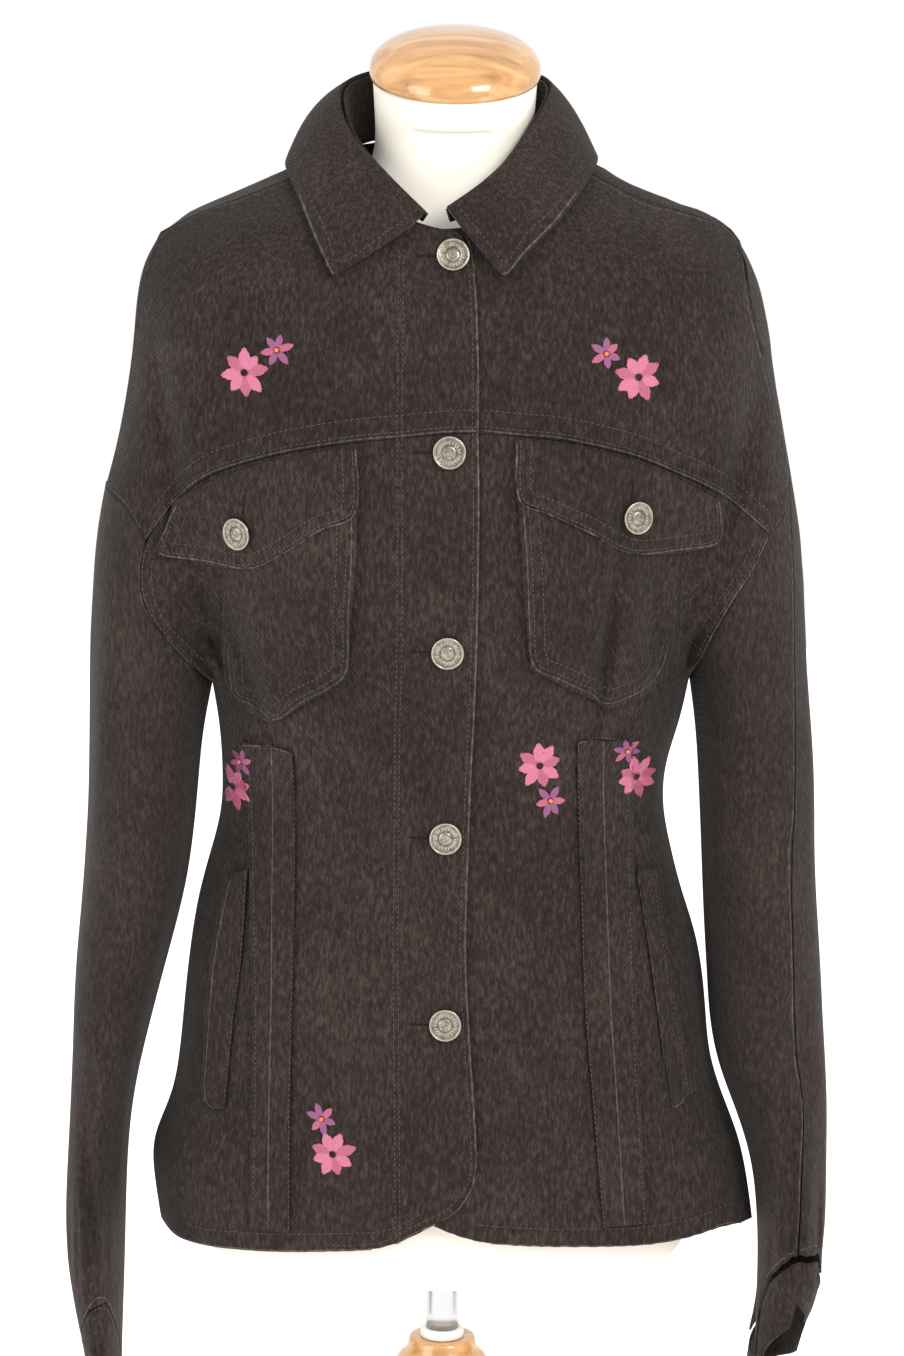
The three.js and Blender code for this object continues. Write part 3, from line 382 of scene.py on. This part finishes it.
def resample(Q, step):
    d = np.r_[0, np.cumsum(np.linalg.norm(np.diff(Q, axis=0), axis=1))]
    n = max(2, int(d[-1] / step) + 1)
    t = np.linspace(0, d[-1], n)
    return np.stack([np.interp(t, d, Q[:, 0]), np.interp(t, d, Q[:, 1])], 1)


class Soup:
    def __init__(self):
        self.v, self.f = [], []

    def tube(self, pts, nrm, r, sides=6, flat=0.6, taper=True):
        """A thin closed tube along pts; flat squashes it against the cloth."""
        k0 = len(self.v)
        m = len(pts)
        for i, (p, n) in enumerate(zip(pts, nrm)):
            t = (pts[min(i + 1, m - 1)] - pts[max(i - 1, 0)]).normalized()
            s = t.cross(n).normalized()
            w = r * (0.35 if taper and i in (0, m - 1) else 1)
            for j in range(sides):
                a = 2 * math.pi * j / sides
                self.v.append(p + s * (w * math.cos(a)) + n * (w * flat * math.sin(a)))
        for i in range(m - 1):
            for j in range(sides):
                a, b = k0 + i * sides + j, k0 + i * sides + (j + 1) % sides
                self.f.append((a, b, b + sides, a + sides))
        self.f.append(tuple(k0 + j for j in reversed(range(sides))))
        self.f.append(tuple(k0 + (m - 1) * sides + j for j in range(sides)))

    def make(self, name, mat, slot="denim"):
        me = bpy.data.meshes.new(name)
        me.from_pydata([tuple(v) for v in self.v], [], self.f)
        bm = bmesh.new()
        bm.from_mesh(me)
        bmesh.ops.recalc_face_normals(bm, faces=bm.faces)
        bm.to_mesh(me)
        bm.free()
        me.materials.append(mat)
        me.polygons.foreach_set("use_smooth", [True] * len(me.polygons))
        o = bpy.data.objects.new(name, me)
        scene.collection.objects.link(o)
        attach(o, "root")
        return o


# the second soup holds the pale edge ridges, whose colour is partly real wear and partly painted highlight
stitches, wear_and_highlight = Soup(), Soup()


def stitch(pts, t=BODY, pitch=3.4, length=2.3, r=0.34, soup=None, lift=0.0001):
    Q = resample(smooth_line(pts), pitch)
    for i in range(len(Q) - 1):
        a = Q[i]
        b = Q[i] + (Q[i + 1] - Q[i]) * (length / pitch)
        ps, ns = [], []
        for s in (0, 0.5, 1):
            q = a + (b - a) * s
            p, n = drop(q[0], q[1], t)
            if p is None:
                break
            ps.append(p + n * (lift + 0.00012 * (s == 0.5)))
            ns.append(n)
        if len(ps) == 3 and (ps[0] - ps[2]).length < 0.006:
            (soup or stitches).tube(ps, ns, r / 1000, 5)


def edge(pts, r=0.8, t=BODY, soup=None, lift=0.0):
    """A ridge along an edge or a seam, paler in colour: partly real wear, partly painted highlight."""
    Q = resample(smooth_line(pts), 2.0)
    run = []
    for i, q in enumerate(Q):
        p, n = drop(q[0], q[1], t)
        if p is None or (run and (p - run[-1][0]).length > 0.008):
            if len(run) > 3:
                put(run, soup or wear_and_highlight)
            run = []
            if p is None:
                continue
        w = r * (0.75 + 0.35 * math.sin(i * 1.7) * math.sin(i * 0.31))
        run.append((p + n * lift, n, w / 1000))
    if len(run) > 3:
        put(run, soup or wear_and_highlight)


def put(run, soup):
    k0 = len(soup.v)
    m, sides = len(run), 6
    for i, (p, n, w) in enumerate(run):
        t = (run[min(i + 1, m - 1)][0] - run[max(i - 1, 0)][0]).normalized()
        s = t.cross(n).normalized()
        for j in range(sides):
            a = 2 * math.pi * j / sides
            soup.v.append(p + s * (w * math.cos(a)) + n * (w * 0.45 * math.sin(a)))
    for i in range(m - 1):
        for j in range(sides):
            a, b = k0 + i * sides + j, k0 + i * sides + (j + 1) % sides
            soup.f.append((a, b, b + sides, a + sides))
    soup.f.append(tuple(k0 + j for j in reversed(range(sides))))
    soup.f.append(tuple(k0 + (m - 1) * sides + j for j in range(sides)))


def shift(pts, dx=0, dz=0):
    return [(x + dx, z + dz) for x, z in pts]


YR = [(16, 1040), (-7, 1039), (-30, 1036.5), (-55, 1034), (-80, 1030), (-104, 1025), (-130, 1017), (-152, 1008), (-168, 995), (-181, 979), (-189, 968)]
YL = [(20, 1040), (42, 1038), (66, 1036), (91, 1031), (116, 1024), (141, 1013), (166, 1001), (183, 988), (199, 974)]
AR = [(-191, 965), (-195, 948), (-193, 929), (-184, 912), (-170, 895), (-160, 882)]
AL = [(199, 972), (191, 955), (178, 934), (167, 912), (160, 893)]
FRONT = [(5, 1160), (11, 1153), (15, 1120), (17, 1072), (17, 1040), (18, 1000), (18, 938), (17, 875), (15, 823), (14, 778), (13, 715), (16, 658), (19, 620), (21, 588), (20, 568), (15, 556), (8, 547), (-2, 541), (-15, 534), (-27, 527), (-40, 522), (-71, 519), (-110, 515), (-136, 513), (-156, 511), (-168, 510)]
HEML = [(23, 527), (49, 525), (89, 523), (125, 521), (148, 521), (165, 522), (182, 524), (194, 519)]
FLAPR = [(-170, 990), (-177, 974), (-180, 960), (-150, 955.5), (-123, 954), (-101, 966), (-79, 981), (-58, 992), (-58, 1030)]
FLAPL = [(40, 1034), (42, 1001), (61, 992), (85, 981), (111, 967), (143, 967), (166, 970), (168, 983), (166, 996)]
for q, d in ((YR, 1.6), (YL, 1.6)):
    edge(shift(q, 0, d), 0.6)
    stitch(shift(q, 0, 4))
    stitch(shift(q, 0, 14))
edge([(x - 1.0, z + (1.0 if z < 540 else 0)) for x, z in FRONT], 0.75)
stitch([(x - 4, z + (4 if z < 560 else 0)) for x, z in FRONT[:22]])
stitch([(-30, 1150), (-30, 1090), (-30, 1035), (-29, 963), (-29, 906), (-30, 848), (-30, 778), (-30, 715), (-29, 651), (-28, 594), (-27, 528)])
stitch([(-33, 1150), (-33, 1090), (-33, 1035), (-32, 963), (-32, 906), (-33, 848), (-33, 778), (-33, 715), (-32, 651), (-31, 594), (-30, 528)])
hemR = [(x, z + 12) for x, z in FRONT[18:]]
stitch(hemR)
stitch([(x, z + 12) for x, z in HEML])
edge([(x, z + 0.8) for x, z in HEML], 0.6)
for q, sg in ((AR, 1), (AL, -1)):
    edge(shift(q, sg * 0.8), 0.5)
    stitch(shift(q, sg * 3.0))
    stitch(shift(q, sg * 9.0))
stitch([(-193, 974), (-203, 989), (-216, 996)])
stitch([(203, 979), (209, 986), (212, 1000)])


def offset(pts, d):
    P = np.array(pts, float)
    t = np.gradient(P, axis=0)
    n = np.stack([-t[:, 1], t[:, 0]], 1)
    n /= np.linalg.norm(n, axis=1, keepdims=True)
    return [tuple(v) for v in P + n * d]


for q in (FLAPR, FLAPL):
    edge(q, 0.75)
    stitch(offset(smooth_line(q, 4), 2.2 ), pitch=3.2)
    stitch(offset(smooth_line(q, 4), 8.5), pitch=3.2)
PR = [(-60, 990), (-60, 963), (-62, 925), (-63, 893), (-74, 881), (-92, 870), (-108, 857), (-124, 864), (-136, 870), (-139, 900)]
PL = [(44, 998), (47, 964), (49, 926), (52, 898), (69, 888), (88, 878), (97, 871), (119, 877), (132, 888), (137, 905)]
for q, s in ((PR, -1), (PL, 1)):
    edge([(x, z) for x, z in q], 0.5)
    stitch(offset(smooth_line(q, 4), s * 3), pitch=3.2)
    stitch(offset(smooth_line(q, 4), s * 9), pitch=3.2)
for s, lines in (("R", [[(-130, 836), (-124, 801), (-122, 739), (-120, 676), (-120, 612), (-121, 531)], [(-111, 838), (-110, 803), (-110, 740), (-110, 677), (-111, 613), (-111, 531)], [(-98, 836), (-96, 806), (-96, 742), (-97, 679), (-98, 615), (-98, 531)]]), ("L", [[(81, 846), (82, 808), (85, 745), (88, 682), (94, 618), (102, 537)], [(97, 846), (98, 806), (101, 743), (104, 680), (109, 616), (115, 537)], [(112, 844), (114, 806), (116, 741), (118, 679), (122, 614), (128, 537)]])):
    for i, q in enumerate(lines):
        if i == 1:
            edge(q, 0.6)
        stitch(q)
    a, b = lines[0][0], lines[2][0]
    stitch([a, ((a[0] + b[0]) / 2, a[1] + 1), b])
    edge([a, ((a[0] + b[0]) / 2, a[1] + 2), b], 0.5)
edge([(-138, 748), (-147, 702), (-151.5, 650), (-153, 606), (-140, 604)], 0.6)
stitch([(-127, 756), (-130.5, 700), (-135.5, 661), (-140.5, 606)])
edge([(120, 761), (130, 703), (138, 650), (145, 607), (157, 612)], 0.6)
stitch([(131, 756), (142, 685), (150, 647), (156.5, 613)])
# shoulder seams and the left sleeve's front seam
edge([(-104, 1188), (-134, 1176.5), (-151, 1171), (-165, 1164), (-177, 1158), (-186, 1150), (-190.5, 1139), (-193.5, 1125)], 0.5)
edge([(80, 1197), (116, 1178), (137, 1172.5), (159, 1166.5), (170, 1162), (177.5, 1155), (180.5, 1147), (181.5, 1133), (183.5, 1116), (188.5, 1097), (195.5, 1075), (203.5, 1043), (209.5, 1019), (212, 1001)], 0.55)
edge([(213, 978), (215.5, 957), (216, 938), (217, 894), (218, 863), (218.5, 801), (216.5, 769), (219, 721), (223, 641), (228, 617), (229.5, 595), (228.5, 566), (228.5, 536), (227.3, 512)], 0.5)
# cuffs
for q in ([(-236, 433), (-233.5, 454), (-226, 470), (-218, 470), (-213, 450)], [(246, 482), (243, 508), (232, 511), (225, 507), (217, 500), (211, 486)]):
    edge(q, 0.6)
    stitch(shift(q, 0, -7), pitch=3.2)
# collar
LEAF_R = [(-18, 1171), (-37, 1154.5), (-58, 1139.5), (-72, 1135), (-79, 1147), (-86, 1161), (-95, 1181)]
LEAF_L = [(-3, 1174), (10, 1157), (20, 1146), (31, 1136), (43, 1149), (61, 1167), (75, 1184)]
for q, d in ((LEAF_R, 4), (LEAF_L, 4)):
    edge(q, 0.9, COLLAR)
    P = np.array(smooth_line(q, 3))
    c = P.mean(0) + np.array([0, 18])
    v = c - P
    stitch([tuple(x) for x in P + v / np.linalg.norm(v, axis=1, keepdims=True) * 7][::2], COLLAR)
stitches.make("stitching", THREAD)
# pale ridges: real wear together with painted highlight
wear_and_highlight.make("worn_and_highlight_edges", WORN_AND_HIGHLIGHT)

# buttonholes: a keyhole slit with a corded edge left of each front button, an upright one on each flap
holes = Soup()
for x, z in ((-14, 1146), (-15, 1028), (-15, 905), (-15, 786), (-14, 668)):
    stitch([(x - 9, z), (x, z), (x + 5, z)], pitch=3.6, length=3.6, r=0.9, soup=holes)
for x, z in ((-127, 991), (111, 1004)):
    stitch([(x, z - 4), (x, z + 3), (x, z + 9)], pitch=3.6, length=3.6, r=0.9, soup=holes)
holes.make("buttonholes", SLIT)


# ------------------------------------------------------------------ embroidered flowers: satin-stitched petals
def petal(soup, cx, cz, ang, r0, r1, w):
    ca, sa = math.cos(ang), math.sin(ang)
    n = 7
    for k in range(-2, 3):
        ps, ns = [], []
        for i in range(n):
            s = i / (n - 1)
            r = r0 + (r1 - r0) * s * (1 - 0.05 * k * k)
            off = k * w / 4.0 * math.sin(math.pi * (0.10 + s * 0.72)) ** 0.6
            p, nn = drop(cx + r * ca - off * sa, cz + r * sa + off * ca)
            if p is None:
                return
            ps.append(p + nn * (0.0005 - 0.00008 * abs(k)))
            ns.append(nn)
        soup.tube(ps, ns, w / 5.6 / 1000, 6, 0.5)


pink, rose, purple, orange = Soup(), Soup(), Soup(), Soup()


def flower(x, z, r, petals, main, alt, turn, centre=None):
    g = np.random.default_rng(int(abs(x) * 7 + z))
    for i in range(petals):
        a = turn + 2 * math.pi * i / petals + g.uniform(-0.13, 0.13)
        petal(main if i % 3 else alt, x, z, a, r * 0.14, r * g.uniform(0.86, 1.08), r * (0.36 if petals > 6 else 0.32))
    if centre:
        p, n = drop(x, z)
        centre.tube([p + n * 0.0003, p + n * 0.0016], [Vector((1, 0, 0)), Vector((1, 0, 0))], r * 0.13 / 1000, 8, 1, False)


for x, z, t in ((-127, 1074, 0.1), (114, 1074, 0.5), (57, 832, 0.2), (-70, 583, 0.4)):
    flower(x, z, 15, 8, pink, rose, t)
for x, z, t in ((-107, 1088, 0.2), (94, 1088, 0.6), (64, 809, 0.1), (-77, 605, 0.8)):
    flower(x, z, 10.5, 6, purple, rose, t, orange)
for x, z, t in ((-137, 806, 0.3), (119, 819, 0.2)):
    flower(x, z, 14, 8, pink, rose, t)
for x, z, t in ((-131, 824, 0.3), (112, 838, 0.7)):
    flower(x, z, 9, 6, purple, rose, t, orange)
pink.make("embroidery_pink", PINK)
rose.make("embroidery_rose", ROSE)
purple.make("embroidery_purple", PURPLE)
orange.make("embroidery_centres", ORANGE)

# ------------------------------------------------------------------ buttons: a ring of dots round a raised centre
dots, recess, centres = Soup(), Soup(), Soup()
for n in sorted(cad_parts):
    if not n.startswith("button"):
        continue
    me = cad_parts[n].data
    P = np.array([tuple(v.co) for v in me.vertices])
    c = P.mean(0)
    u, s, vt = np.linalg.svd(P - c, full_matrices=False)
    nrm = Vector(vt[2])
    if nrm.y > 0:
        nrm = -nrm
    top = max((Vector(p) - Vector(c)).dot(nrm) for p in P)
    base = Vector(c) + nrm * (top - 0.0006)
    axis = nrm.cross(Vector((0, 0, 1))).normalized()
    up = axis.cross(nrm).normalized()
    for i in range(20):
        a = 2 * math.pi * i / 20
        d = axis * math.cos(a) + up * math.sin(a)
        t = up * math.cos(a) - axis * math.sin(a)
        q = base + d * 0.0063
        dots.tube([q - d * 0.0009 , q + d * 0.0009], [nrm, nrm], 0.00045, 6, 0.9, False)
    for r, w, soup in ((0.0082, 0.00035, recess), (0.0045, 0.00035, recess), (0.0096, 0.0005, centres)):
        k0 = len(soup.v)
        m, sides = 40, 6
        for i in range(m):
            a = 2 * math.pi * i / m
            d = axis * math.cos(a) + up * math.sin(a)
            for j in range(sides):
                b = 2 * math.pi * j / sides
                soup.v.append(base + d * (r + w * math.cos(b)) + nrm * (w * math.sin(b) + (0.0 if soup is recess else 0.0001)))
        for i in range(m):
            for j in range(sides):
                soup.f.append((k0 + i * sides + j, k0 + i * sides + (j + 1) % sides, k0 + ((i + 1) % m) * sides + (j + 1) % sides, k0 + ((i + 1) % m) * sides + j))
dots.make("button_dots", METAL_HI, "button_metal")
recess.make("button_grooves", METAL_DARK, "button_metal")
centres.make("button_rims", METAL_HI, "button_metal")

# ------------------------------------------------------------------ floor and light
me = bpy.data.meshes.new("floor")
me.from_pydata([(-6, -6, -0.0005), (6, -6, -0.0005), (6, 6, -0.0005), (-6, 6, -0.0005)], [], [(0, 1, 2, 3)])
floor = bpy.data.objects.new("floor", me)
scene.collection.objects.link(floor)
fm, nt, b = plain("floor_white", (0.9, 0.9, 0.9), 0.9, spec=0.0)
b.inputs["Emission Color"].default_value = (1, 1, 1, 1)
b.inputs["Emission Strength"].default_value = 0.55
me.materials.append(fm)
world = bpy.data.worlds.new("w")
scene.world = world
world.use_nodes = True
world.node_tree.nodes["Background"].inputs["Color"].default_value = (1, 1, 1, 1)
world.node_tree.nodes["Background"].inputs["Strength"].default_value = 1.0


def area(name, loc, size, power, target=(0, 0, 0.9)):
    d = bpy.data.lights.new(name, "AREA")
    d.size = size
    d.energy = power
    o = bpy.data.objects.new(name, d)
    scene.collection.objects.link(o)
    o.location = loc
    o.rotation_euler = (Vector(target) - Vector(loc)).to_track_quat("-Z", "Y").to_euler()


area("key", (1.5, -2.2, 2.4), 1.1, 46)
area("fill", (-1.9, -1.7, 1.5), 1.4, 20)
scene.view_settings.view_transform = "Standard"
scene.view_settings.look = "None"
